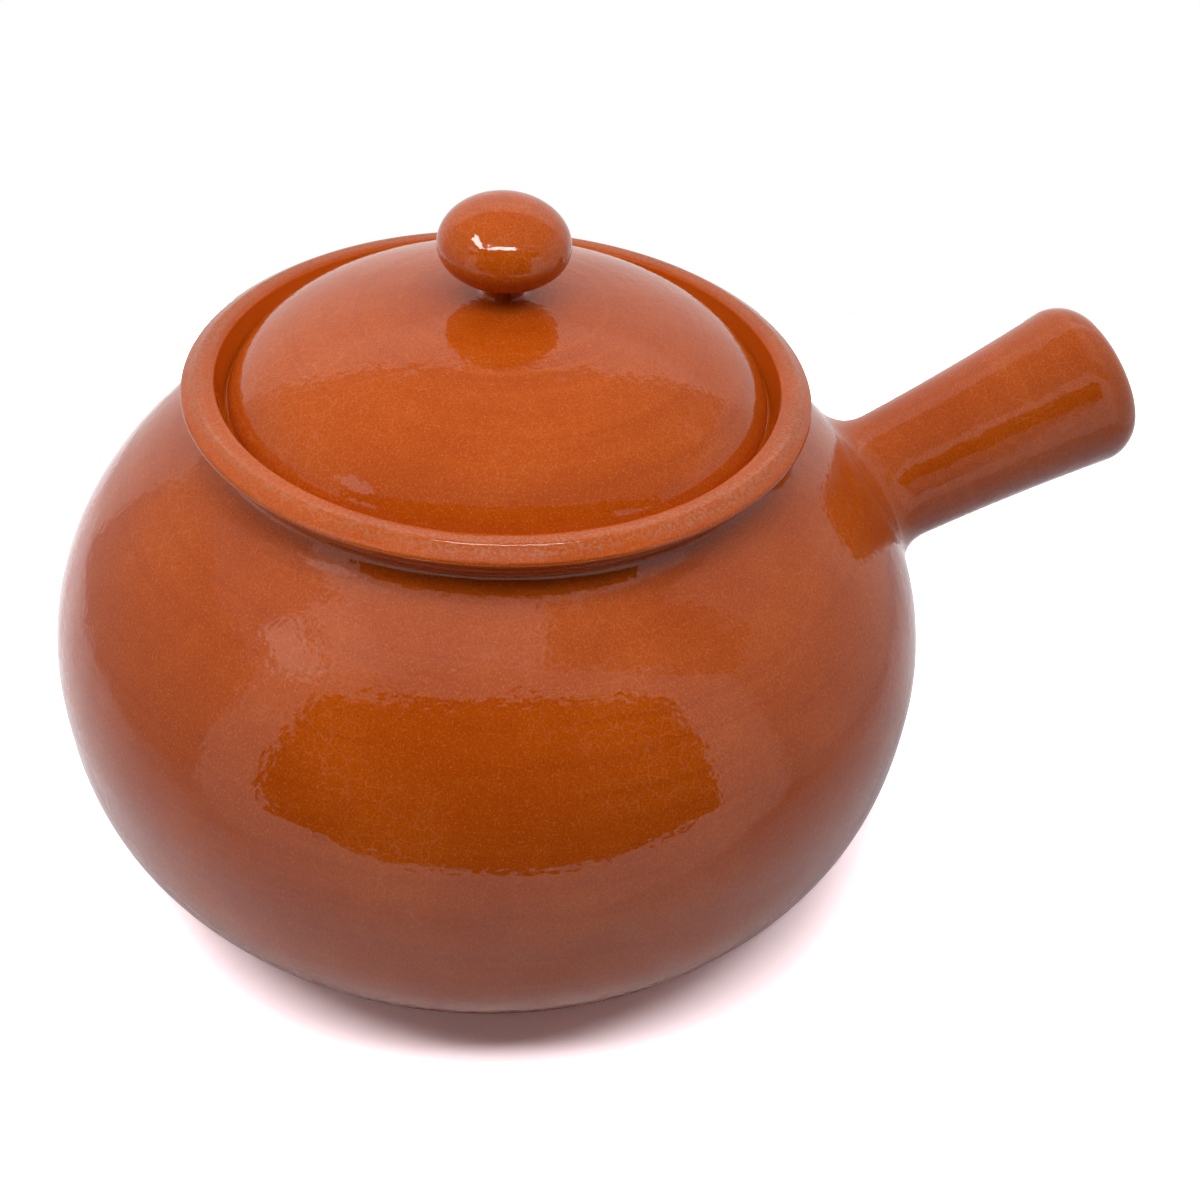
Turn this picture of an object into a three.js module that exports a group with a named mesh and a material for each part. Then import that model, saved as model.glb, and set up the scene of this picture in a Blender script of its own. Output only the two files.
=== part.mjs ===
// Glazed terracotta cooking pot: a round-bellied pot with an out-turned rim, a hollow flared
// handle luted to its shoulder, and a loose domed lid with a ball knob that sits inside the rim.
// Millimetres, +Z up. The origin is the middle of the flat base; the handle points along +X.
import * as THREE from 'three';

// Pot body
const BELLY_RADIUS = 120;
const BELLY_LEVEL = 65;
const SHOULDER_RISE = 85;
const FOOT_DROP = 70;
const FOOT_FULLNESS = 2.75;
const WALL = 7;
const FLOOR_THICKNESS = 8;

// Neck, rim and the gallery that carries the lid
const SHOULDER_END_RADIUS = 80;
const NECK_RADIUS = 74;
const NECK_LEVEL = 135.4;
const NECK_ROUNDING = 0.8;
const LIP_RADIUS = 79.1;
const LIP_LEVEL = 142.8;
const LIP_ROUNDING = 0.6;
const LIP_TOP_RADIUS = 78.2;
const LIP_TOP_LEVEL = 143.9;
const LIP_TOP_SLOPE = 0.6;
const CREST_RADIUS = 72.5;
const CREST_LEVEL = 145.65;
const GALLERY_MOUTH_RADIUS = 70.8;
const GALLERY_ROUNDING = 1.6;
const GALLERY_RADIUS = 69;
const SEAT_LEVEL = 138.6;
const MOUTH_RADIUS = 60.5;
const MOUTH_ROUNDING = 1.8;

// Lid and its knob
const LID_RADIUS = 69;
const LID_RISE = 28.9;
const LID_CENTRE_LEVEL = 135.8;
const LID_WALL = 6;
const LID_EDGE_ROUNDING = 1.2;
const KNOB_RADIUS = 16.2;
const KNOB_RISE = 11.7;
const KNOB_DEPTH = 9.8;
const KNOB_LEVEL = 177.8;
const STEM_RADIUS = 5;
const KNOB_FILLET_WIDTH = 2.4;
const KNOB_FILLET_HEIGHT = 1.2;

// Handle: distances along its axis are taken from the point where the axis meets the pot's own
const HANDLE_TILT = THREE.MathUtils.degToRad(26.4);
const HANDLE_AXIS_LEVEL = 39.3;
const HANDLE_ROOT_AT = 112;
const HANDLE_ROOT_RADIUS = 19.2;
const HANDLE_WAIST_AT = 150;
const HANDLE_WAIST_HOLLOW = 0.95;
const HANDLE_END_AT = 199.8;
const HANDLE_END_RADIUS = 23.7;
const HANDLE_LIP_OUTER_ROUNDING = 10.5;
const HANDLE_LIP_INNER_ROUNDING = 2;
const BORE_ROOT_RADIUS = 12;
const FILLET_LENGTH = 9;

// Clearance between pieces that touch, and the thickness to which a smoothed joint thins out
const GAP = 0.3;
const FILLET_EDGE = 0.4;

// Facets round each turned piece, and steps along its curves
const POT_SIDES = 60;
const KNOB_SIDES = 40;
const HANDLE_SIDES = 40;
const BELLY_STEPS = 9;
const ROUNDING_STEPS = 3;

const steps = (count) => Array.from({ length: count + 1 }, (_, k) => k / count);

// The pot's wall follows one ellipse above its widest level and a fuller curve below it.
// inset measures inwards from the outer face.
function shoulderPoint(angle, inset) {
  return new THREE.Vector2(
    (BELLY_RADIUS - inset) * Math.cos(angle),
    BELLY_LEVEL + (SHOULDER_RISE - inset) * Math.sin(angle),
  );
}

function shoulderCurve(endRadius, inset) {
  const endAngle = Math.acos(endRadius / (BELLY_RADIUS - inset));
  return steps(BELLY_STEPS).map((t) => shoulderPoint(t * endAngle, inset));
}

function footCurve(level, inset) {
  const power = 2 / FOOT_FULLNESS;
  const drop = FOOT_DROP - inset;
  const startAngle = Math.asin(((BELLY_LEVEL - level) / drop) ** (1 / power));
  return steps(BELLY_STEPS).map((t) => {
    const angle = startAngle * (1 - t);
    return new THREE.Vector2(
      (BELLY_RADIUS - inset) * Math.cos(angle) ** power,
      BELLY_LEVEL - drop * Math.sin(angle) ** power,
    );
  });
}

function turned(profile, sides) {
  return new THREE.LatheGeometry(profile, sides).rotateX(Math.PI / 2);
}

function rimCurve() {
  const shoulder = shoulderCurve(SHOULDER_END_RADIUS, 0).at(-1);
  const fall = (shoulder.x / (shoulder.y - BELLY_LEVEL)) * (SHOULDER_RISE / BELLY_RADIUS) ** 2;
  const neckCorner = shoulder.y + (shoulder.x - NECK_RADIUS) * fall;
  const flareFoot = new THREE.Vector2(NECK_RADIUS, NECK_LEVEL + NECK_ROUNDING);
  const flareHead = new THREE.Vector2(LIP_RADIUS, LIP_LEVEL - LIP_ROUNDING);
  const flare = flareHead.clone().sub(flareFoot).normalize();
  const aboveNeck = flareFoot.clone().addScaledVector(flare, NECK_ROUNDING);
  const belowLip = flareHead.clone().addScaledVector(flare, -LIP_ROUNDING);
  const lipCorner = LIP_TOP_LEVEL - (LIP_RADIUS - LIP_TOP_RADIUS) * LIP_TOP_SLOPE;
  const crestCorner = LIP_TOP_RADIUS - (CREST_LEVEL - LIP_TOP_LEVEL) / LIP_TOP_SLOPE;
  const rim = new THREE.Path();
  rim.moveTo(shoulder.x, shoulder.y);
  rim.quadraticCurveTo(NECK_RADIUS, neckCorner, NECK_RADIUS, NECK_LEVEL);
  rim.quadraticCurveTo(flareFoot.x, flareFoot.y, aboveNeck.x, aboveNeck.y);
  rim.lineTo(belowLip.x, belowLip.y);
  rim.quadraticCurveTo(flareHead.x, flareHead.y, LIP_RADIUS, LIP_LEVEL);
  rim.quadraticCurveTo(LIP_RADIUS, lipCorner, LIP_TOP_RADIUS, LIP_TOP_LEVEL);
  rim.quadraticCurveTo(crestCorner, CREST_LEVEL, CREST_RADIUS, CREST_LEVEL);
  rim.quadraticCurveTo(
    GALLERY_MOUTH_RADIUS, CREST_LEVEL,
    GALLERY_MOUTH_RADIUS, CREST_LEVEL - GALLERY_ROUNDING,
  );
  rim.lineTo(GALLERY_RADIUS, SEAT_LEVEL);
  rim.lineTo(MOUTH_RADIUS + MOUTH_ROUNDING, SEAT_LEVEL);
  rim.quadraticCurveTo(MOUTH_RADIUS, SEAT_LEVEL, MOUTH_RADIUS, SEAT_LEVEL - MOUTH_ROUNDING);
  return rim.getPoints(ROUNDING_STEPS);
}

function potBody() {
  const outside = [...footCurve(0, 0), ...shoulderCurve(SHOULDER_END_RADIUS, 0).slice(1)];
  const inside = [...footCurve(FLOOR_THICKNESS, WALL), ...shoulderCurve(MOUTH_RADIUS, WALL).slice(1)];
  const profile = [
    new THREE.Vector2(0, 0),
    ...outside,
    ...rimCurve().slice(1),
    ...inside.reverse(),
    new THREE.Vector2(0, FLOOR_THICKNESS),
  ];
  return turned(profile, POT_SIDES);
}

// Height of the lid's dome at a radius; inset measures inwards from its outer face
function domeLevel(radius, inset) {
  const share = radius / (LID_RADIUS - inset);
  return LID_CENTRE_LEVEL + (LID_RISE - inset) * Math.sqrt(1 - share * share);
}

function domeRadius(level, inset) {
  const share = (level - LID_CENTRE_LEVEL) / (LID_RISE - inset);
  return (LID_RADIUS - inset) * Math.sqrt(1 - share * share);
}

function domeCurve(edgeRadius, inset) {
  const edgeAngle = Math.asin(edgeRadius / (LID_RADIUS - inset));
  return steps(BELLY_STEPS).map((t) => {
    const radius = (LID_RADIUS - inset) * Math.sin(edgeAngle * t);
    return new THREE.Vector2(radius, domeLevel(radius, inset));
  });
}

function lid() {
  const edgeLevel = SEAT_LEVEL + GAP;
  const roundedLevel = edgeLevel + LID_EDGE_ROUNDING;
  const edge = new THREE.Path();
  const corner = domeRadius(edgeLevel, 0);
  edge.moveTo(corner - LID_EDGE_ROUNDING, edgeLevel);
  edge.quadraticCurveTo(corner, edgeLevel, domeRadius(roundedLevel, 0), roundedLevel);
  const profile = [
    ...domeCurve(domeRadius(edgeLevel, LID_WALL), LID_WALL),
    ...edge.getPoints(ROUNDING_STEPS),
    ...domeCurve(domeRadius(roundedLevel, 0), 0).reverse().slice(1),
  ];
  return turned(profile, POT_SIDES);
}

// An oblate ball, shallower below its widest level, on a short stem
function lidKnob() {
  const neckAngle = -Math.acos(STEM_RADIUS / KNOB_RADIUS);
  const ball = steps(BELLY_STEPS).map((t) => {
    const angle = THREE.MathUtils.lerp(neckAngle, Math.PI / 2, t);
    const halfHeight = angle > 0 ? KNOB_RISE : KNOB_DEPTH;
    return new THREE.Vector2(
      KNOB_RADIUS * Math.cos(angle),
      KNOB_LEVEL + halfHeight * Math.sin(angle),
    );
  });
  ball.at(-1).setX(0);
  const foot = domeLevel(0, 0) + GAP;
  const profile = [new THREE.Vector2(0, foot), new THREE.Vector2(STEM_RADIUS, foot), ...ball];
  return turned(profile, KNOB_SIDES);
}

// The ring of slip, smoothed hollow, that fills the corner between the stem and the dome
function knobJointRing() {
  const inner = STEM_RADIUS + GAP;
  const outer = inner + KNOB_FILLET_WIDTH;
  const innerLevel = domeLevel(inner, 0) + GAP;
  const outerLevel = domeLevel(outer, 0) + GAP;
  const ring = new THREE.Path();
  ring.moveTo(inner, innerLevel);
  ring.lineTo(outer, outerLevel);
  ring.lineTo(outer, outerLevel + FILLET_EDGE);
  ring.quadraticCurveTo(
    inner + FILLET_EDGE, innerLevel + FILLET_EDGE,
    inner, innerLevel + KNOB_FILLET_HEIGHT,
  );
  ring.closePath();
  return turned(ring.getPoints(ROUNDING_STEPS), KNOB_SIDES);
}

// The handle's own directions: along its axis, across it, and up from it
const HANDLE_ALONG = new THREE.Vector3(Math.cos(HANDLE_TILT), 0, Math.sin(HANDLE_TILT));
const HANDLE_ACROSS = new THREE.Vector3(0, 1, 0);
const HANDLE_UP = new THREE.Vector3(-Math.sin(HANDLE_TILT), 0, Math.cos(HANDLE_TILT));
const HANDLE_START = new THREE.Vector3(0, 0, HANDLE_AXIS_LEVEL);

function handlePoint(along, radius, turn) {
  return HANDLE_START.clone()
    .addScaledVector(HANDLE_ALONG, along)
    .addScaledVector(HANDLE_ACROSS, radius * Math.cos(turn))
    .addScaledVector(HANDLE_UP, radius * Math.sin(turn));
}

// The point where a straight line first meets the shoulder, grown outwards by gap
function shoulderHit(from, towards, gap) {
  const shrink = new THREE.Vector3(
    BELLY_RADIUS + gap,
    BELLY_RADIUS + gap,
    SHOULDER_RISE + gap,
  );
  const start = from.clone().setZ(from.z - BELLY_LEVEL).divide(shrink);
  const way = towards.clone().sub(from).divide(shrink);
  const a = way.dot(way);
  const b = start.dot(way);
  const c = start.dot(start) - 1;
  const distance = (-b - Math.sqrt(b * b - a * c)) / a;
  return from.clone().lerp(towards, distance);
}

// Where the handle's flare starts to round over into its end, and where its bore does
const FLARE_END_AT = HANDLE_END_AT - HANDLE_LIP_OUTER_ROUNDING;
const BORE_END_AT = HANDLE_END_AT - HANDLE_LIP_INNER_ROUNDING;
const BORE_END_RADIUS = HANDLE_END_RADIUS - HANDLE_LIP_OUTER_ROUNDING - HANDLE_LIP_INNER_ROUNDING;

// Radius of the handle's outside, which flares along a slightly hollow curve
function flareRadius(along) {
  const share = (along - HANDLE_ROOT_AT) / (FLARE_END_AT - HANDLE_ROOT_AT);
  const straight = THREE.MathUtils.lerp(HANDLE_ROOT_RADIUS, HANDLE_END_RADIUS, share);
  return straight - 4 * HANDLE_WAIST_HOLLOW * share * (1 - share);
}

// A closed ring from one closed section for each turn round the handle's axis
function ringOfSections(sectionAt, sides) {
  const sections = steps(sides).slice(0, -1).map((t) => sectionAt(2 * Math.PI * t));
  const count = sections[0].length;
  const index = [];
  for (let side = 0; side < sides; side += 1) {
    const here = side * count;
    const next = ((side + 1) % sides) * count;
    for (let k = 0; k < count; k += 1) {
      const k1 = (k + 1) % count;
      index.push(here + k, next + k, next + k1, here + k, next + k1, here + k1);
    }
  }
  const geometry = new THREE.BufferGeometry().setFromPoints(sections.flat());
  geometry.setIndex(index);
  geometry.computeVertexNormals();
  return geometry;
}

// A hollow tube, open at its outer end, whose root is cut to lie on the shoulder
function handle() {
  const flare = steps(ROUNDING_STEPS).slice(0, -1).map((t) => {
    const along = THREE.MathUtils.lerp(HANDLE_WAIST_AT, FLARE_END_AT, t);
    return new THREE.Vector2(along, flareRadius(along));
  });
  const lip = new THREE.Path();
  lip.absarc(
    FLARE_END_AT, HANDLE_END_RADIUS - HANDLE_LIP_OUTER_ROUNDING,
    HANDLE_LIP_OUTER_ROUNDING, Math.PI / 2, 0, true,
  );
  lip.absarc(
    BORE_END_AT, BORE_END_RADIUS + HANDLE_LIP_INNER_ROUNDING,
    HANDLE_LIP_INNER_ROUNDING, 0, -Math.PI / 2, true,
  );
  const outline = [...flare, ...lip.getPoints(ROUNDING_STEPS)];
  const section = (turn) => {
    const wall = outline.map((p) => handlePoint(p.x, p.y, turn));
    const outerRoot = handlePoint(HANDLE_ROOT_AT, HANDLE_ROOT_RADIUS, turn);
    const boreRoot = handlePoint(HANDLE_ROOT_AT, BORE_ROOT_RADIUS, turn);
    return [
      shoulderHit(wall.at(0), outerRoot, GAP),
      ...wall,
      shoulderHit(wall.at(-1), boreRoot, GAP),
    ];
  };
  return ringOfSections(section, HANDLE_SIDES);
}

// Clay smoothed hollow into the corner between the handle's root and the shoulder
function handleJointFillet() {
  const section = (turn) => {
    const outwards = handlePoint(0, 1, turn).sub(HANDLE_START);
    const waist = handlePoint(HANDLE_WAIST_AT, flareRadius(HANDLE_WAIST_AT) + GAP, turn);
    const root = handlePoint(HANDLE_ROOT_AT, HANDLE_ROOT_RADIUS + GAP, turn);
    const corner = shoulderHit(waist, root, GAP);
    const upHandle = waist.clone().sub(root).normalize();
    const onHandle = corner.clone().addScaledVector(upHandle, FILLET_LENGTH);
    const besideCorner = (share) => {
      const above = corner.clone().addScaledVector(outwards, share * FILLET_LENGTH).add(HANDLE_ALONG);
      return shoulderHit(above, above.clone().sub(HANDLE_ALONG), GAP);
    };
    const onShoulder = besideCorner(1);
    const top = onHandle.clone().addScaledVector(outwards, FILLET_EDGE);
    const toe = onShoulder.clone().addScaledVector(HANDLE_ALONG, FILLET_EDGE);
    const hollow = new THREE.QuadraticBezierCurve3(toe, corner, top);
    return [corner, besideCorner(0.5), onShoulder, ...hollow.getPoints(2 * ROUNDING_STEPS), onHandle];
  };
  return ringOfSections(section, HANDLE_SIDES);
}

const GLAZED_TERRACOTTA = { color: 0xb0501e, roughness: 0.18, metalness: 0 };

function piece(name, geometry) {
  const mesh = new THREE.Mesh(geometry, new THREE.MeshStandardMaterial(GLAZED_TERRACOTTA));
  mesh.name = name;
  return mesh;
}

const pot = new THREE.Group();
pot.add(
  piece('pot_body', potBody()),
  piece('handle', handle()),
  piece('handle_joint_fillet', handleJointFillet()),
);

const cover = new THREE.Group();
cover.add(
  piece('lid', lid()),
  piece('lid_knob', lidKnob()),
  piece('knob_joint_ring', knobJointRing()),
);

const cookingPot = new THREE.Group();
cookingPot.add(pot, cover);

export default cookingPot;
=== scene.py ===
import math

import bpy
import numpy as np
from mathutils import Matrix, Vector


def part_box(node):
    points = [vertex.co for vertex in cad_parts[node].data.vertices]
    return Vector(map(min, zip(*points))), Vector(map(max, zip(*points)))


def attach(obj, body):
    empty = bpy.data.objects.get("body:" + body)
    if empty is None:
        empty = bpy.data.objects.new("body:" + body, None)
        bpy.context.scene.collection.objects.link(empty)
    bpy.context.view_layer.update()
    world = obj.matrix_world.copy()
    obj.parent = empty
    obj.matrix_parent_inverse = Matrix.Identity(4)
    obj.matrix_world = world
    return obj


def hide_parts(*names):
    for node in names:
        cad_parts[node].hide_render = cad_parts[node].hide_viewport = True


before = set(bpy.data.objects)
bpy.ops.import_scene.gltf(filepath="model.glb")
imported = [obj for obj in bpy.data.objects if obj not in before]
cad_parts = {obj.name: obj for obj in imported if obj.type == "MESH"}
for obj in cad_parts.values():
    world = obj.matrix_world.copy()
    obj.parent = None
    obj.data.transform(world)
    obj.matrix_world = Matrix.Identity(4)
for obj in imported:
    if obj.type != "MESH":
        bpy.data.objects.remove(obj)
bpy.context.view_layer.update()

# Pot body, in metres, about the Z axis
BELLY_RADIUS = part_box("pot_body")[1].y
BELLY_LEVEL = 0.065
SHOULDER_RISE = 0.085
FOOT_DROP = 0.070
FOOT_FULLNESS = 2.75
WALL = 0.007
FLOOR_THICKNESS = 0.008
BASE_EDGE_WIDTH = 0.001

# Neck, rim and the gallery that carries the lid
SHOULDER_END_RADIUS = 0.080
NECK_RADIUS = 0.074
NECK_LEVEL = 0.1354
NECK_ROUNDING = 0.0008
LIP_RADIUS = 0.0791
LIP_LEVEL = 0.1428
LIP_ROUNDING = 0.0006
LIP_TOP = (0.0782, 0.1439)
LIP_TOP_SLOPE = 0.6
CREST_RADIUS = 0.0725
CREST_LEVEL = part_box("pot_body")[1].z
RIDGE_RADIUS = LIP_TOP[0] - (CREST_LEVEL - LIP_TOP[1]) / LIP_TOP_SLOPE
CREST_ROUNDING = 0.0009
GALLERY_MOUTH_RADIUS = 0.0708
GALLERY_ROUNDING = 0.0016
GALLERY_RADIUS = 0.069
SEAT_LEVEL = 0.1386
SEAT_FILLET = 0.0006
MOUTH_RADIUS = 0.0605
MOUTH_ROUNDING = 0.0018

# Lid and knob
LID_RADIUS = 0.069
LID_RISE = 0.0289
LID_CENTRE_LEVEL = 0.1358
LID_EDGE_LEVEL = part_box("lid")[0].z
LID_WALL = 0.006
LID_EDGE_ROUNDING = 0.0012
KNOB_RADIUS = 0.0162
KNOB_RISE = 0.0117
KNOB_DEPTH = 0.0098
KNOB_LEVEL = 0.1778
STEM_RADIUS = 0.005
KNOB_FILLET = 0.0024
KNOB_FILLET_RISE = 0.0014
FILLET_SINK = 0.00003
STEM_BURIED = LID_WALL / 3
RING_BURIED = LID_WALL / 4

# Handle: distances along its axis are taken from the point where it meets the pot's axis
HANDLE_TILT = math.radians(26.4)
HANDLE_AXIS_LEVEL = 0.0393
HANDLE_ROOT_AT = 0.112
HANDLE_ROOT_RADIUS = 0.0192
HANDLE_WAIST_HOLLOW = 0.00095
HANDLE_END_AT = 0.1998
HANDLE_END_RADIUS = 0.0237
HANDLE_LIP_OUTER_ROUNDING = 0.0105
HANDLE_LIP_INNER_ROUNDING = 0.002
BORE_ROOT_RADIUS = 0.012
JOINT_LENGTH = 0.009
JOINT_BURIED = 0.0015

# Mesh density
POT_SIDES = 320
KNOB_SIDES = 128
HANDLE_SIDES = 160
ROOT_PASSES = 4
SHARP_ANGLE = math.radians(40)
BELLY_STEPS = 72
ROUNDING_STEPS = 14
ON_AXIS = 1e-9


def shares(count):
    return np.linspace(0, 1, count + 1)


def bend(start, corner, end, count=ROUNDING_STEPS):
    """A smooth corner from start to end, without its first point."""
    t = shares(count)[1:, None]
    a, b, c = (np.array(p, float) for p in (start, corner, end))
    return (1 - t) ** 2 * a + 2 * t * (1 - t) * b + t * t * c


def shoulder_curve(end_radius, inset):
    end_angle = math.acos(end_radius / (BELLY_RADIUS - inset))
    angle = shares(BELLY_STEPS) * end_angle
    radius = (BELLY_RADIUS - inset) * np.cos(angle)
    level = BELLY_LEVEL + (SHOULDER_RISE - inset) * np.sin(angle)
    return np.c_[radius, level]


def foot_curve(level, inset):
    power = 2 / FOOT_FULLNESS
    drop = FOOT_DROP - inset
    start_angle = math.asin(((BELLY_LEVEL - level) / drop) ** (1 / power))
    angle = start_angle * (1 - shares(BELLY_STEPS))
    radius = (BELLY_RADIUS - inset) * np.cos(angle) ** power
    return np.c_[radius, BELLY_LEVEL - drop * np.sin(angle) ** power]


def rim_curve(start):
    fall = start[0] / (start[1] - BELLY_LEVEL) * (SHOULDER_RISE / BELLY_RADIUS) ** 2
    neck_corner = (NECK_RADIUS, start[1] + (start[0] - NECK_RADIUS) * fall)
    neck = (NECK_RADIUS, NECK_LEVEL)
    flare_foot = Vector((NECK_RADIUS, NECK_LEVEL + NECK_ROUNDING))
    flare_head = Vector((LIP_RADIUS, LIP_LEVEL - LIP_ROUNDING))
    flare = (flare_head - flare_foot).normalized()
    above_neck = flare_foot + flare * NECK_ROUNDING
    below_lip = flare_head - flare * LIP_ROUNDING
    lip = (LIP_RADIUS, LIP_LEVEL)
    lip_corner = (LIP_RADIUS, LIP_TOP[1] - (LIP_RADIUS - LIP_TOP[0]) * LIP_TOP_SLOPE)
    ridge = Vector((RIDGE_RADIUS, CREST_LEVEL))
    below_ridge = ridge + Vector((1, -LIP_TOP_SLOPE)).normalized() * CREST_ROUNDING
    inside_ridge = ridge - Vector((CREST_ROUNDING, 0))
    crest = (CREST_RADIUS, CREST_LEVEL)
    gallery_top = (GALLERY_MOUTH_RADIUS, CREST_LEVEL - GALLERY_ROUNDING)
    seat_corner = Vector((GALLERY_RADIUS, SEAT_LEVEL))
    above_seat = seat_corner + (Vector(gallery_top) - seat_corner).normalized() * SEAT_FILLET
    on_seat = (GALLERY_RADIUS - SEAT_FILLET, SEAT_LEVEL)
    mouth_edge = (MOUTH_RADIUS + MOUTH_ROUNDING, SEAT_LEVEL)
    mouth_wall = (MOUTH_RADIUS, SEAT_LEVEL - MOUTH_ROUNDING)
    return np.concatenate([
        bend(start, neck_corner, neck),
        bend(neck, flare_foot, above_neck),
        bend(below_lip, flare_head, lip),
        bend(lip, lip_corner, LIP_TOP),
        bend(below_ridge, ridge, inside_ridge),
        [crest],
        bend(crest, (GALLERY_MOUTH_RADIUS, CREST_LEVEL), gallery_top),
        bend(above_seat, seat_corner, on_seat),
        [mouth_edge],
        bend(mouth_edge, (MOUTH_RADIUS, SEAT_LEVEL), mouth_wall),
    ])


def pot_profile():
    foot = foot_curve(0, 0)
    shoulder = shoulder_curve(SHOULDER_END_RADIUS, 0)
    inside_foot = foot_curve(FLOOR_THICKNESS, WALL)
    inside_shoulder = shoulder_curve(MOUTH_RADIUS, WALL)
    inside = np.concatenate([inside_foot, inside_shoulder[1:]])[::-1]
    return np.concatenate([
        [(0, 0), (foot[0][0] - BASE_EDGE_WIDTH, 0)],
        foot,
        shoulder[1:],
        rim_curve(shoulder[-1]),
        inside,
        [(0, FLOOR_THICKNESS)],
    ])


def dome_level(radius, inset=0):
    share = np.asarray(radius) / (LID_RADIUS - inset)
    return LID_CENTRE_LEVEL + (LID_RISE - inset) * np.sqrt(1 - share ** 2)


def dome_radius(level, inset=0):
    share = (level - LID_CENTRE_LEVEL) / (LID_RISE - inset)
    return (LID_RADIUS - inset) * math.sqrt(1 - share ** 2)


def dome_curve(edge_radius, inset=0):
    edge_angle = math.asin(edge_radius / (LID_RADIUS - inset))
    radius = (LID_RADIUS - inset) * np.sin(edge_angle * shares(BELLY_STEPS))
    return np.c_[radius, dome_level(radius, inset)]


def lid_profile():
    rounded_level = LID_EDGE_LEVEL + LID_EDGE_ROUNDING
    rounded = (dome_radius(rounded_level), rounded_level)
    corner = (dome_radius(LID_EDGE_LEVEL), LID_EDGE_LEVEL)
    flat_end = (corner[0] - LID_EDGE_ROUNDING, LID_EDGE_LEVEL)
    inner_edge = dome_radius(LID_EDGE_LEVEL, LID_WALL)
    return np.concatenate([
        dome_curve(inner_edge, LID_WALL),
        [(inner_edge + LID_EDGE_ROUNDING / 2, LID_EDGE_LEVEL), flat_end],
        bend(flat_end, corner, rounded),
        dome_curve(rounded[0])[::-1][1:],
    ])


def knob_profile():
    neck_angle = -math.acos(STEM_RADIUS / KNOB_RADIUS)
    angle = neck_angle + (math.pi / 2 - neck_angle) * shares(BELLY_STEPS)
    radius = KNOB_RADIUS * np.cos(angle)
    radius[-1] = 0
    half_height = np.where(angle > 0, KNOB_RISE, KNOB_DEPTH)
    ball = np.c_[radius, KNOB_LEVEL + half_height * np.sin(angle)]
    foot = float(dome_level(0)) - STEM_BURIED
    return np.concatenate([[(0, foot), (STEM_RADIUS, foot)], ball])


def knob_joint_profile():
    """A ring whose hollow face leaves the stem and runs out on the dome; its back is buried."""
    top_level = float(dome_level(0)) + KNOB_FILLET_RISE
    toe_radius = STEM_RADIUS + KNOB_FILLET
    toe = (toe_radius, float(dome_level(toe_radius)) - FILLET_SINK)
    corner = (STEM_RADIUS, float(dome_level(STEM_RADIUS)))
    top = (STEM_RADIUS - FILLET_SINK, top_level)
    return np.concatenate([
        [(STEM_RADIUS / 2, corner[1] - RING_BURIED), (toe_radius, toe[1] - RING_BURIED), toe],
        bend(toe, corner, top),
        [(STEM_RADIUS / 2, top_level)],
    ])


def new_piece(name, points, faces):
    mesh = bpy.data.meshes.new(name)
    mesh.from_pydata([tuple(p) for p in points], [], faces)
    mesh.update()
    mesh.set_sharp_from_angle(angle=SHARP_ANGLE)
    piece = bpy.data.objects.new(name, mesh)
    bpy.context.scene.collection.objects.link(piece)
    return piece


def turned(name, profile, sides, closed=False):
    """A solid turned about the Z axis. An open profile starts and ends on the axis."""
    points = []
    rings = []
    angles = np.arange(sides) * 2 * math.pi / sides
    for radius, level in profile:
        start = len(points)
        if radius < ON_AXIS:
            points.append((0, 0, level))
            rings.append([start] * sides)
        else:
            points.extend(zip(radius * np.cos(angles), radius * np.sin(angles), [level] * sides))
            rings.append(list(range(start, start + sides)))
    if closed:
        rings.append(rings[0])
    faces = []
    for low, high in zip(rings, rings[1:]):
        for k in range(sides):
            k1 = (k + 1) % sides
            corners = [low[k], low[k1], high[k1], high[k]]
            faces.append(list(dict.fromkeys(corners)))
    return new_piece(name, points, faces)


HANDLE_ALONG = Vector((math.cos(HANDLE_TILT), 0, math.sin(HANDLE_TILT)))
HANDLE_ACROSS = Vector((0, 1, 0))
HANDLE_UP = Vector((-math.sin(HANDLE_TILT), 0, math.cos(HANDLE_TILT)))
HANDLE_START = Vector((0, 0, HANDLE_AXIS_LEVEL))
FLARE_END_AT = HANDLE_END_AT - HANDLE_LIP_OUTER_ROUNDING
BORE_END_AT = HANDLE_END_AT - HANDLE_LIP_INNER_ROUNDING
BORE_END_RADIUS = HANDLE_END_RADIUS - HANDLE_LIP_OUTER_ROUNDING - HANDLE_LIP_INNER_ROUNDING


def flare_radius(along):
    """Radius of the handle's outside, which flares along a slightly hollow curve."""
    share = (along - HANDLE_ROOT_AT) / (FLARE_END_AT - HANDLE_ROOT_AT)
    straight = HANDLE_ROOT_RADIUS + (HANDLE_END_RADIUS - HANDLE_ROOT_RADIUS) * share
    return straight - 4 * HANDLE_WAIST_HOLLOW * share * (1 - share)


def handle_point(along, radius, turn):
    outwards = HANDLE_ACROSS * math.cos(turn) + HANDLE_UP * math.sin(turn)
    return HANDLE_START + HANDLE_ALONG * along + outwards * radius


def shoulder_hit(start, towards, depth=0.0):
    """Where a straight line first meets the shoulder, or a face that deep below it."""
    size = Vector((BELLY_RADIUS - depth, BELLY_RADIUS - depth, SHOULDER_RISE - depth))
    lifted = start - Vector((0, 0, BELLY_LEVEL))
    scaled = Vector(a / b for a, b in zip(lifted, size))
    way = Vector(a / b for a, b in zip(towards - start, size))
    a = way.dot(way)
    b = scaled.dot(way)
    c = scaled.dot(scaled) - 1
    return start.lerp(towards, (-b - math.sqrt(b * b - a * c)) / a)


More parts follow.
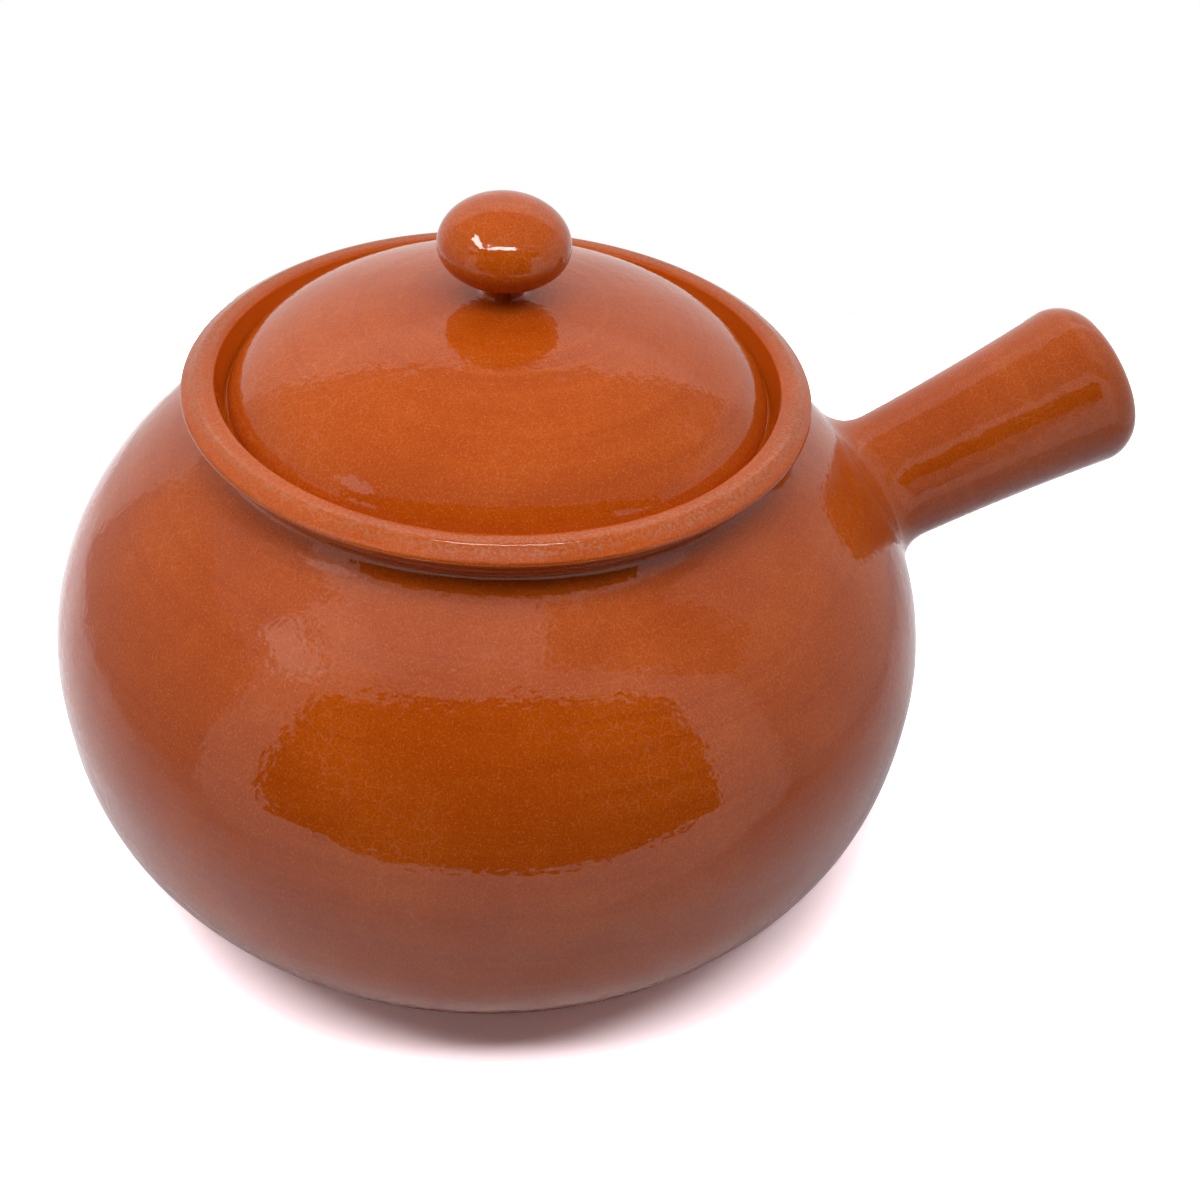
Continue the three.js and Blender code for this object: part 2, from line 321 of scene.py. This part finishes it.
def ring_of_sections(name, section_at, sides):
    """A closed ring from one closed section for each turn round the handle's axis."""
    sections = [section_at(2 * math.pi * k / sides) for k in range(sides)]
    count = len(sections[0])
    points = [p for section in sections for p in section]
    faces = []
    for side in range(sides):
        here = side * count
        after = (side + 1) % sides * count
        for k in range(count):
            k1 = (k + 1) % count
            faces.append([here + k, after + k, after + k1, here + k1])
    return new_piece(name, points, faces)


def arc(centre, radius, start, end, count=ROUNDING_STEPS):
    angle = start + (end - start) * shares(count)
    return np.c_[centre[0] + radius * np.cos(angle), centre[1] + radius * np.sin(angle)]


def flare_root(turn, depth=0.0):
    """Where the handle's outside runs into the shoulder, or a face that deep below it."""
    along = HANDLE_ROOT_AT
    for _ in range(ROOT_PASSES):
        ahead = along + JOINT_LENGTH
        here = handle_point(along, flare_radius(along), turn)
        root = shoulder_hit(handle_point(ahead, flare_radius(ahead), turn), here, depth)
        along = (root - HANDLE_START).dot(HANDLE_ALONG)
    return root


def handle_piece():
    outer_lip = arc(
        (FLARE_END_AT, HANDLE_END_RADIUS - HANDLE_LIP_OUTER_ROUNDING),
        HANDLE_LIP_OUTER_ROUNDING, math.pi / 2, 0,
    )
    inner_lip = arc(
        (BORE_END_AT, BORE_END_RADIUS + HANDLE_LIP_INNER_ROUNDING),
        HANDLE_LIP_INNER_ROUNDING, 0, -math.pi / 2,
    )
    lip = np.concatenate([outer_lip, inner_lip[1:]])

    def section(turn):
        end = [handle_point(along, radius, turn) for along, radius in lip]
        bore_root = handle_point(HANDLE_ROOT_AT, BORE_ROOT_RADIUS, turn)
        root = flare_root(turn, JOINT_BURIED)
        root_at = (root - HANDLE_START).dot(HANDLE_ALONG)
        bore_start = shoulder_hit(end[-1], bore_root, JOINT_BURIED)
        flare = root_at + (FLARE_END_AT - root_at) * shares(BELLY_STEPS)[1:-1]
        outside = [handle_point(along, flare_radius(along), turn) for along in flare]
        inside = [end[-1].lerp(bore_start, t) for t in shares(BELLY_STEPS)[1:]]
        return [root] + outside + end + inside

    return ring_of_sections("handle_tube", section, HANDLE_SIDES)


def handle_joint_piece():
    """Clay smoothed hollow into the corner round the handle's root, buried where it runs out."""
    def section(turn):
        outwards = HANDLE_ACROSS * math.cos(turn) + HANDLE_UP * math.sin(turn)
        corner = flare_root(turn)
        top_at = (corner - HANDLE_START).dot(HANDLE_ALONG) + JOINT_LENGTH
        top = handle_point(top_at, flare_radius(top_at), turn)
        above = corner + outwards * JOINT_LENGTH + HANDLE_ALONG * JOINT_LENGTH
        toe = shoulder_hit(above, above - HANDLE_ALONG)
        buried = corner - outwards * JOINT_BURIED - HANDLE_ALONG * JOINT_BURIED
        hollow = [Vector(p) for p in bend(toe, corner, top, 2 * ROUNDING_STEPS)]
        sunk_toe = toe - HANDLE_ALONG * JOINT_BURIED
        sunk_top = top - outwards * JOINT_BURIED
        return [buried, sunk_toe, toe] + hollow + [sunk_top]

    return ring_of_sections("handle_joint", section, HANDLE_SIDES)


# Clear-glazed terracotta: colours
CLAY = (0.53, 0.087, 0.004)
CLAY_DEEP = (0.46, 0.068, 0.003)
CLAY_DARK = (0.36, 0.045, 0.002)
CLAY_PALE = (0.58, 0.110, 0.010)
# Painted light: a lighter glaze colour for the gallery wall inside the rim, in place of the light
# falling on it
GALLERY_PAINTED_LIGHT = (0.64, 0.108, 0.005)
SPECK = (0.62, 0.15, 0.025)
# Pits in the glaze: rougher like real pinholes, and their pale colour is a painted sparkle highlight
PAINTED_SPARKLE = (0.80, 0.52, 0.38)
IRON = (0.07, 0.014, 0.005)
CRAZE = (0.60, 0.15, 0.05)
SANDY = (0.44, 0.17, 0.08)
BARE = (0.52, 0.20, 0.10)
GLAZE_IOR = 1.4

# Its markings, in counts to the metre. A dot's size is its radius in widths of a scatter's cell,
# and its share is that of the cells which hold one.
MOTTLE_COUNT = 26
RING_COUNT = 330
RING_DRIFT = 14
GRAIN_COUNT = 2000
SAND_COUNT = 1200
CRAZE_COUNT = 300
CRAZE_BEND = (0.002, 0.002, 0.002)
PIT_COUNT = 120
PIT_SIZE = 0.05
PIT_SHARE = 0.10
IRON_COUNT = 150
IRON_SIZE = 0.05
IRON_SHARE = 0.12
IRON_COVER = 0.85
DOT_CHOICE = 0.02

# Ramps: a pattern's levels at the start and the end, and the amounts there
MOTTLE_RAMP = (0.35, 0.65, 0, 1)
PALE_RING_RAMP = (0.55, 0.80, 0, 0.40)
DARK_RING_RAMP = (0.48, 0.30, 0, 0.25)
DARK_GRAIN_RAMP = (0.48, 0.25, 0, 0.60)
SPECK_RAMP = (0.52, 0.75, 0, 0.65)
CRAZE_RAMP = (0.05, 0.02, 0, 1)
CRAZE_PATCH_RAMP = (0.40, 0.65, 0.05, 0.40)
GLOSS_RAMP = (0.3, 0.7, 0.025, 0.05)
SAND_RAMP = (0.46, 0.62, 0.15, 1)
RIDGE_WEAR = 0.0020
WEAR_RAMP = (0.3, 0.7, 0, RIDGE_WEAR)
SAND_COVER = 0.6
FOOT_RAMP = (0.0045, 0.0035, 0, 1)
PIT_ROUGHNESS = 0.35
SAND_ROUGHNESS = 0.08
BARE_ROUGHNESS = 0.7

# Its relief: waves, fine peel and turning rings, in counts to the metre and in metres
WAVE_COUNT = 75
WAVE_HEIGHT = 0.00020
PEEL_COUNT = 500
PEEL_HEIGHT = 0.00008
RING_HEIGHT = 0.00007


class Nodes:
    """Adds nodes to a material's tree; inputs are sockets to link or values to set."""

    # Places of the colour sockets on a mix node, where several sockets have the same name
    FIRST_COLOUR = 6
    SECOND_COLOUR = 7
    MIXED_COLOUR = 2

    def __init__(self, tree):
        self.tree = tree

    def add(self, kind, inputs=None, **settings):
        node = self.tree.nodes.new(kind)
        for name, value in settings.items():
            setattr(node, name, value)
        for key, value in (inputs or {}).items():
            if isinstance(value, bpy.types.NodeSocket):
                self.tree.links.new(value, node.inputs[key])
            else:
                node.inputs[key].default_value = value
        return node

    def noise(self, vector, count, detail, roughness=0.5):
        inputs = {"Vector": vector, "Scale": count, "Detail": detail, "Roughness": roughness}
        return self.add("ShaderNodeTexNoise", inputs).outputs["Fac"]

    def cells(self, vector, count, feature="F1"):
        return self.add("ShaderNodeTexVoronoi", {"Vector": vector, "Scale": count}, feature=feature)

    def math(self, operation, first, second=0.0):
        return self.add("ShaderNodeMath", {0: first, 1: second}, operation=operation).outputs[0]

    def ramp(self, value, start, end, low=0.0, high=1.0):
        inputs = {"Value": value, "From Min": start, "From Max": end, "To Min": low, "To Max": high}
        settings = {"interpolation_type": "SMOOTHSTEP"}
        return self.add("ShaderNodeMapRange", inputs, **settings).outputs["Result"]

    def blend(self, factor, first, second):
        colours = [c if isinstance(c, bpy.types.NodeSocket) else (*c, 1) for c in (first, second)]
        inputs = {0: factor, self.FIRST_COLOUR: colours[0], self.SECOND_COLOUR: colours[1]}
        return self.add("ShaderNodeMix", inputs, data_type="RGBA").outputs[self.MIXED_COLOUR]

    def dots(self, vector, count, size, share):
        """Round dots in that share of the cells of a scatter."""
        cells = self.cells(vector, count)
        chosen = self.ramp(cells.outputs["Color"], 1 - share, 1 - share + DOT_CHOICE)
        return self.math("MULTIPLY", self.ramp(cells.outputs["Distance"], size, size / 2), chosen)

    def raised(self, height, distance, normal=None):
        inputs = {"Height": height, "Distance": distance}
        if normal:
            inputs["Normal"] = normal
        return self.add("ShaderNodeBump", inputs).outputs["Normal"]


def glaze(name, axis_tilt=0.0, axis_level=0.0, rim=False, foot=False):
    """Glazed terracotta turned about an axis that leans from +Z towards +X by axis_tilt."""
    material = bpy.data.materials.new(name)
    material.use_nodes = True
    nodes = Nodes(material.node_tree)
    shader = material.node_tree.nodes["Principled BSDF"]
    here = nodes.add("ShaderNodeTexCoord").outputs["Object"]
    lowered = nodes.add("ShaderNodeVectorMath", {0: here, 1: (0, 0, axis_level)}, operation="SUBTRACT")
    upright = nodes.add(
        "ShaderNodeVectorRotate",
        {"Vector": lowered.outputs[0], "Angle": -axis_tilt},
        rotation_type="Y_AXIS",
    ).outputs[0]
    flat = nodes.add("ShaderNodeVectorMath", {0: upright, 1: (1, 1, 0)}, operation="MULTIPLY")
    radius = nodes.add("ShaderNodeVectorMath", {0: flat.outputs[0]}, operation="LENGTH").outputs["Value"]
    at = nodes.add("ShaderNodeSeparateXYZ", {0: upright}).outputs
    turning = nodes.add("ShaderNodeCombineXYZ", {
        "X": nodes.math("MULTIPLY", radius, RING_COUNT),
        "Y": nodes.math("MULTIPLY", at["Z"], RING_COUNT),
        "Z": nodes.math("MULTIPLY", at["X"], RING_DRIFT),
    }).outputs[0]

    mottle = nodes.noise(here, MOTTLE_COUNT, detail=5, roughness=0.6)
    rings = nodes.noise(turning, 1, detail=3)
    grain = nodes.noise(here, GRAIN_COUNT, detail=2)
    pits_and_painted_sparkle = nodes.dots(here, PIT_COUNT, PIT_SIZE, PIT_SHARE)
    iron = nodes.dots(here, IRON_COUNT, IRON_SIZE, IRON_SHARE)
    warp = nodes.add("ShaderNodeTexNoise", {"Vector": here, "Scale": CRAZE_COUNT}).outputs["Color"]
    bent = nodes.add("ShaderNodeVectorMath", {0: warp, 1: CRAZE_BEND, 2: here}, operation="MULTIPLY_ADD")
    craze = nodes.cells(bent.outputs[0], CRAZE_COUNT, "DISTANCE_TO_EDGE").outputs["Distance"]
    craze = nodes.ramp(craze, *CRAZE_RAMP)
    craze = nodes.math("MULTIPLY", craze, nodes.ramp(mottle, *CRAZE_PATCH_RAMP))

    colour = nodes.blend(nodes.ramp(mottle, *MOTTLE_RAMP), CLAY_DEEP, CLAY)
    colour = nodes.blend(nodes.ramp(rings, *PALE_RING_RAMP), colour, CLAY_PALE)
    colour = nodes.blend(craze, colour, CRAZE)
    colour = nodes.blend(nodes.ramp(rings, *DARK_RING_RAMP), colour, CLAY_DARK)
    colour = nodes.blend(nodes.ramp(grain, *DARK_GRAIN_RAMP), colour, CLAY_DARK)
    colour = nodes.blend(nodes.ramp(grain, *SPECK_RAMP), colour, SPECK)
    colour = nodes.blend(nodes.math("MULTIPLY", iron, IRON_COVER), colour, IRON)
    # Pale dots at the pits: painted sparkle highlights on real, rougher pits
    colour = nodes.blend(pits_and_painted_sparkle, colour, PAINTED_SPARKLE)
    rough = nodes.ramp(mottle, *GLOSS_RAMP)
    rough = nodes.math("ADD", rough, nodes.math("MULTIPLY", pits_and_painted_sparkle, PIT_ROUGHNESS))
    if rim:
        # Painted light: the gallery wall inside the rim is coloured lighter, in place of the light
        # falling on it
        inside = nodes.ramp(radius, GALLERY_MOUTH_RADIUS + GALLERY_ROUNDING / 2, GALLERY_MOUTH_RADIUS)
        above_seat = nodes.ramp(at["Z"], SEAT_LEVEL - SEAT_FILLET, SEAT_LEVEL)
        colour = nodes.blend(nodes.math("MULTIPLY", inside, above_seat), colour, GALLERY_PAINTED_LIGHT)
        off_ridge = nodes.math("ABSOLUTE", nodes.math("SUBTRACT", radius, RIDGE_RADIUS))
        worn = nodes.math("ADD", off_ridge, nodes.ramp(mottle, *WEAR_RAMP))
        on_ridge = nodes.ramp(worn, RIDGE_WEAR * 2, RIDGE_WEAR)
        on_ridge = nodes.math("MULTIPLY", on_ridge, nodes.ramp(at["Z"], SEAT_LEVEL, LIP_LEVEL))
        sand = nodes.ramp(nodes.noise(here, SAND_COUNT, detail=3), *SAND_RAMP)
        sand = nodes.math("MULTIPLY", sand, on_ridge)
        colour = nodes.blend(nodes.math("MULTIPLY", sand, SAND_COVER), colour, SANDY)
        rough = nodes.math("ADD", rough, nodes.math("MULTIPLY", sand, SAND_ROUGHNESS))
    if foot:
        bare = nodes.ramp(at["Z"], *FOOT_RAMP)
        colour = nodes.blend(bare, colour, BARE)
        rough = nodes.math("ADD", rough, nodes.math("MULTIPLY", bare, BARE_ROUGHNESS))

    material.node_tree.links.new(colour, shader.inputs["Base Color"])
    material.node_tree.links.new(rough, shader.inputs["Roughness"])
    shader.inputs["IOR"].default_value = GLAZE_IOR

    normal = nodes.raised(nodes.noise(here, WAVE_COUNT, detail=1), WAVE_HEIGHT)
    normal = nodes.raised(nodes.noise(here, PEEL_COUNT, detail=1), PEEL_HEIGHT, normal)
    normal = nodes.raised(rings, RING_HEIGHT, normal)
    material.node_tree.links.new(normal, shader.inputs["Normal"])
    return material


def place(piece, node, body, material):
    piece.data.materials.append(material)
    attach(piece, body)
    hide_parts(node)


HANDLE_LEAN = math.pi / 2 - HANDLE_TILT
BODY_GLAZE = glaze("body_glaze", rim=True, foot=True)
LID_GLAZE = glaze("lid_glaze")
KNOB_GLAZE = glaze("knob_glaze")
HANDLE_GLAZE = glaze("handle_glaze", HANDLE_LEAN, HANDLE_AXIS_LEVEL)

pot_shell = turned("pot_shell", pot_profile(), POT_SIDES)
handle_tube = handle_piece()
handle_joint = handle_joint_piece()
lid_dome = turned("lid_dome", lid_profile(), POT_SIDES)
ball_knob = turned("ball_knob", knob_profile(), KNOB_SIDES)
knob_joint = turned("knob_joint", knob_joint_profile(), KNOB_SIDES, closed=True)
HANDLE_PIECES = (handle_tube, handle_joint)
POT_PIECES = (pot_shell, handle_tube, handle_joint)
KNOB_PIECES = (ball_knob, knob_joint)
SHELL_PIECES = (pot_shell,)
ALL_PIECES = (*POT_PIECES, *KNOB_PIECES, lid_dome)

place(pot_shell, "pot_body", "pot", BODY_GLAZE)
place(handle_tube, "handle", "pot", HANDLE_GLAZE)
place(handle_joint, "handle_joint_fillet", "pot", HANDLE_GLAZE)
place(lid_dome, "lid", "lid", LID_GLAZE)
place(ball_knob, "lid_knob", "lid", KNOB_GLAZE)
place(knob_joint, "knob_joint_ring", "lid", LID_GLAZE)

# Camera
CAMERA_PLACE = Vector((-0.0644, -0.3048, 0.3289))
CAMERA_AZIMUTH = math.radians(-17.4)
CAMERA_ELEVATION = math.radians(39.84)
CAMERA_ROLL = math.radians(4.72)
CAMERA_LENS_MM = 42.1
CAMERA_CLIP_START = 0.01


def add_camera():
    ahead = Vector((-math.sin(CAMERA_AZIMUTH), math.cos(CAMERA_AZIMUTH), 0))
    level_right = Vector((math.cos(CAMERA_AZIMUTH), math.sin(CAMERA_AZIMUTH), 0))
    sky = Vector((0, 0, 1))
    forward = ahead * math.cos(CAMERA_ELEVATION) - sky * math.sin(CAMERA_ELEVATION)
    level_up = ahead * math.sin(CAMERA_ELEVATION) + sky * math.cos(CAMERA_ELEVATION)
    right = level_right * math.cos(CAMERA_ROLL) + level_up * math.sin(CAMERA_ROLL)
    up = level_up * math.cos(CAMERA_ROLL) - level_right * math.sin(CAMERA_ROLL)
    data = bpy.data.cameras.new("camera")
    data.lens = CAMERA_LENS_MM
    data.clip_start = CAMERA_CLIP_START
    camera = bpy.data.objects.new("camera", data)
    axes = Matrix((right, up, -forward)).transposed()
    camera.matrix_world = Matrix.Translation(CAMERA_PLACE) @ axes.to_4x4()
    bpy.context.scene.collection.objects.link(camera)
    bpy.context.scene.camera = camera


add_camera()

# Studio: a white light box, open towards the camera and turned a little about the pot
BOX_TURN = math.radians(-11)
BOX_SIDE = 0.48
BOX_FRONT = -0.235
BOX_BACK = 0.30
BOX_HEIGHT = 0.395
OPENING_LEFT = -0.247
OPENING_RIGHT = 0.222
OPENING_TOP = 0.305
SILL_MIDDLE = 0.066
SILL_CORNER = 0.086
COVE_MIDDLE = 0.148
COVE_BEND = 0.9
EDGE_STEPS = 24
LAYER = 0.001
CARD_LEFT = 0.08
CARD_LOW = 0.09
CARD_HIGH = 0.19

# The floor's colour as a light on the clay, as seen, and as mirrored in the glaze
FLOOR_BOUNCE = (0.16, 0.16, 0.16)
FLOOR_EXPOSED = (1.55, 1.32, 1.38)
FLOOR_MIRRORED = (0.42, 0.42, 0.44)

# Sheets hung under the box's top: left, right, front and back
BOX_AREA = (-BOX_SIDE, BOX_SIDE, BOX_FRONT, BOX_BACK)
LAMP_AREA = (-0.16, 0.16, BOX_FRONT, -0.10)
LEFT_GLOW_AREA = (-BOX_SIDE, -0.16, BOX_FRONT, BOX_BACK)
RIGHT_GLOW_AREA = (0.16, BOX_SIDE, -0.10, BOX_BACK)
SHOULDER_GLOW_AREA = (-0.26, 0.06, BOX_FRONT, -0.10)
CORNER_LAMP_AREA = (-0.40, -0.28, BOX_FRONT, -0.12)
FLOOR_LAMP_AREA = (-0.26, 0.20, -0.247, -0.162)
FLOOR_FILL_AREA = (-0.45, 0.25, 0.0, BOX_BACK)
FRONT_STRIP_AREA = (-0.13, 0.10, -0.225, -0.165)
LEFT_STRIP_AREA = (-0.225, -0.16, -0.205, -0.025)
RIM_STRIP_AREA = (-0.045, 0.056, -0.006, 0.012)

# Each sheet's level as a light on the clay, and as seen mirrored in the glaze
BACK = (1.0, 0.85)
LEFT = (0.6, 0.5)
RIGHT = (0.3, 0.68)
TOP = (0.75, 0.4)
COVE = (0.75, 1.15)
FRONT = (0.0, 1.05)
SILL = (0.75, 1.1)
LAMP = (4.0, 0.0)
CORNER_LAMP = (4.0, 1.4)
CARD = (0.0, 0.53)
POT_GLOW = (0.0, 0.4)
SHOULDER_GLOW = (0.0, 0.9)
FLOOR_LAMP = (17.0, 0.0)
FLOOR_FILL = (7.5, 0.0)
STRIP = (0.0, 25.0)


def stand(piece, camera_sees):
    piece.visible_camera = camera_sees
    piece.matrix_world = Matrix.Rotation(BOX_TURN, 4, "Z")


def sheet(name, corners, levels, lights=None):
    """A white sheet of the box. One that lights only some pieces adds to what is seen through it."""
    sides = len(corners) // 2
    faces = [[k, k + 1, sides + k + 1, sides + k] for k in range(sides - 1)]
    piece = new_piece(name, corners, faces)
    material = bpy.data.materials.new(name)
    material.use_nodes = True
    nodes = Nodes(material.node_tree)
    mirrored = nodes.add("ShaderNodeLightPath").outputs["Is Glossy Ray"]
    shown = nodes.add("ShaderNodeEmission", {"Strength": nodes.ramp(mirrored, 0, 1, *levels)}).outputs[0]
    if lights:
        clear = nodes.add("ShaderNodeBsdfTransparent").outputs[0]
        shown = nodes.add("ShaderNodeAddShader", {0: shown, 1: clear}).outputs[0]
        lit = bpy.data.collections.new(name + "_lights")
        for lit_piece in lights:
            lit.objects.link(lit_piece)
        piece.light_linking.receiver_collection = lit
    surface = material.node_tree.nodes["Material Output"].inputs["Surface"]
    material.node_tree.links.new(shown, surface)
    piece.data.materials.append(material)
    stand(piece, False)


def upright_sheet(name, start, end, low, high, levels, lights=None):
    corners = [(*start, low), (*end, low), (*start, high), (*end, high)]
    sheet(name, corners, levels, lights)


def hung_sheet(name, area, layer, levels, lights=None):
    """A flat sheet under the box's top, that many layers down."""
    left, right, front, back = area
    height = BOX_HEIGHT - layer * LAYER
    front_corners = [(left, front, height), (right, front, height)]
    back_corners = [(left, back, height), (right, back, height)]
    sheet(name, front_corners + back_corners, levels, lights)


def sill_sheet(name, left, right, levels):
    """The front edge of the box's floor, which curls up more towards its corners."""
    across = left + (right - left) * shares(EDGE_STEPS)
    top = SILL_MIDDLE + (SILL_CORNER - SILL_MIDDLE) * (across / right) ** 2
    corners = [(x, BOX_FRONT, 0) for x in across] + [(x, BOX_FRONT, z) for x, z in zip(across, top)]
    sheet(name, corners, levels)


def cove_sheet(name, layer, levels):
    """The head of the backdrop, which leaves the box's top along a bowed line."""
    across = BOX_SIDE * (2 * shares(EDGE_STEPS) - 1)
    front = np.minimum(COVE_MIDDLE + COVE_BEND * across ** 2, BOX_BACK)
    back = BOX_BACK + LAYER
    height = BOX_HEIGHT - layer * LAYER
    corners = [(x, y, height) for x, y in zip(across, front)] + [(x, back, height) for x in across]
    sheet(name, corners, levels)


def add_light_box(floor):
    left_front = (-BOX_SIDE, BOX_FRONT)
    right_front = (BOX_SIDE, BOX_FRONT)
    left_back = (-BOX_SIDE, BOX_BACK)
    right_back = (BOX_SIDE, BOX_BACK)
    opening_left = (OPENING_LEFT, BOX_FRONT)
    opening_right = (OPENING_RIGHT, BOX_FRONT)
    card_left = (CARD_LEFT, BOX_FRONT)
    upright_sheet("box_back", left_back, right_back, 0, BOX_HEIGHT, BACK)
    upright_sheet("box_right", right_front, right_back, 0, BOX_HEIGHT, RIGHT)
    upright_sheet("box_left", left_front, left_back, 0, BOX_HEIGHT, LEFT)
    upright_sheet("box_front_left", left_front, opening_left, 0, OPENING_TOP, FRONT)
    upright_sheet("box_front_right", opening_right, right_front, 0, OPENING_TOP, FRONT)
    upright_sheet("box_front_top", left_front, right_front, OPENING_TOP, BOX_HEIGHT, FRONT, POT_PIECES)
    hung_sheet("box_top", BOX_AREA, 0, TOP)
    cove_sheet("box_cove", 1, COVE)
    sill_sheet("box_sill", OPENING_LEFT, OPENING_RIGHT, SILL)
    upright_sheet("handle_card", card_left, opening_right, CARD_LOW, CARD_HIGH, CARD, HANDLE_PIECES)
    hung_sheet("top_lamp", LAMP_AREA, 3, LAMP, ALL_PIECES)
    hung_sheet("left_glow", LEFT_GLOW_AREA, 4, POT_GLOW, POT_PIECES)
    hung_sheet("right_glow", RIGHT_GLOW_AREA, 4, POT_GLOW, POT_PIECES)
    hung_sheet("shoulder_glow", SHOULDER_GLOW_AREA, 6, SHOULDER_GLOW, SHELL_PIECES)
    hung_sheet("floor_lamp", FLOOR_LAMP_AREA, 5, FLOOR_LAMP, (floor,))
    hung_sheet("floor_fill", FLOOR_FILL_AREA, 5, FLOOR_FILL, (floor,))
    hung_sheet("corner_lamp", CORNER_LAMP_AREA, 2, CORNER_LAMP, ALL_PIECES)
    hung_sheet("front_strip", FRONT_STRIP_AREA, 2, STRIP, KNOB_PIECES)
    hung_sheet("left_strip", LEFT_STRIP_AREA, 2, STRIP, KNOB_PIECES)
    hung_sheet("rim_front_strip", RIM_STRIP_AREA, 2, STRIP, SHELL_PIECES)


def add_floor():
    left, right, front, back = BOX_AREA
    corners = [(left, front, 0), (right, front, 0), (right, back, 0), (left, back, 0)]
    floor = new_piece("floor", corners, [[0, 1, 2, 3]])
    material = bpy.data.materials.new("floor_white")
    material.use_nodes = True
    nodes = Nodes(material.node_tree)
    path = nodes.add("ShaderNodeLightPath").outputs
    colour = nodes.blend(path["Is Camera Ray"], FLOOR_BOUNCE, FLOOR_EXPOSED)
    colour = nodes.blend(path["Is Glossy Ray"], colour, FLOOR_MIRRORED)
    paper = nodes.add("ShaderNodeBsdfDiffuse", {"Color": colour}).outputs[0]
    surface = material.node_tree.nodes["Material Output"].inputs["Surface"]
    material.node_tree.links.new(paper, surface)
    floor.data.materials.append(material)
    stand(floor, True)
    return floor


def add_world():
    world = bpy.data.worlds.new("studio")
    world.use_nodes = True
    nodes = Nodes(world.node_tree)
    seen = nodes.add("ShaderNodeLightPath").outputs["Is Camera Ray"]
    background = world.node_tree.nodes["Background"]
    background.inputs["Color"].default_value = (1, 1, 1, 1)
    world.node_tree.links.new(seen, background.inputs["Strength"])
    bpy.context.scene.world = world


add_light_box(add_floor())
add_world()
bpy.context.scene.view_settings.view_transform = "Standard"
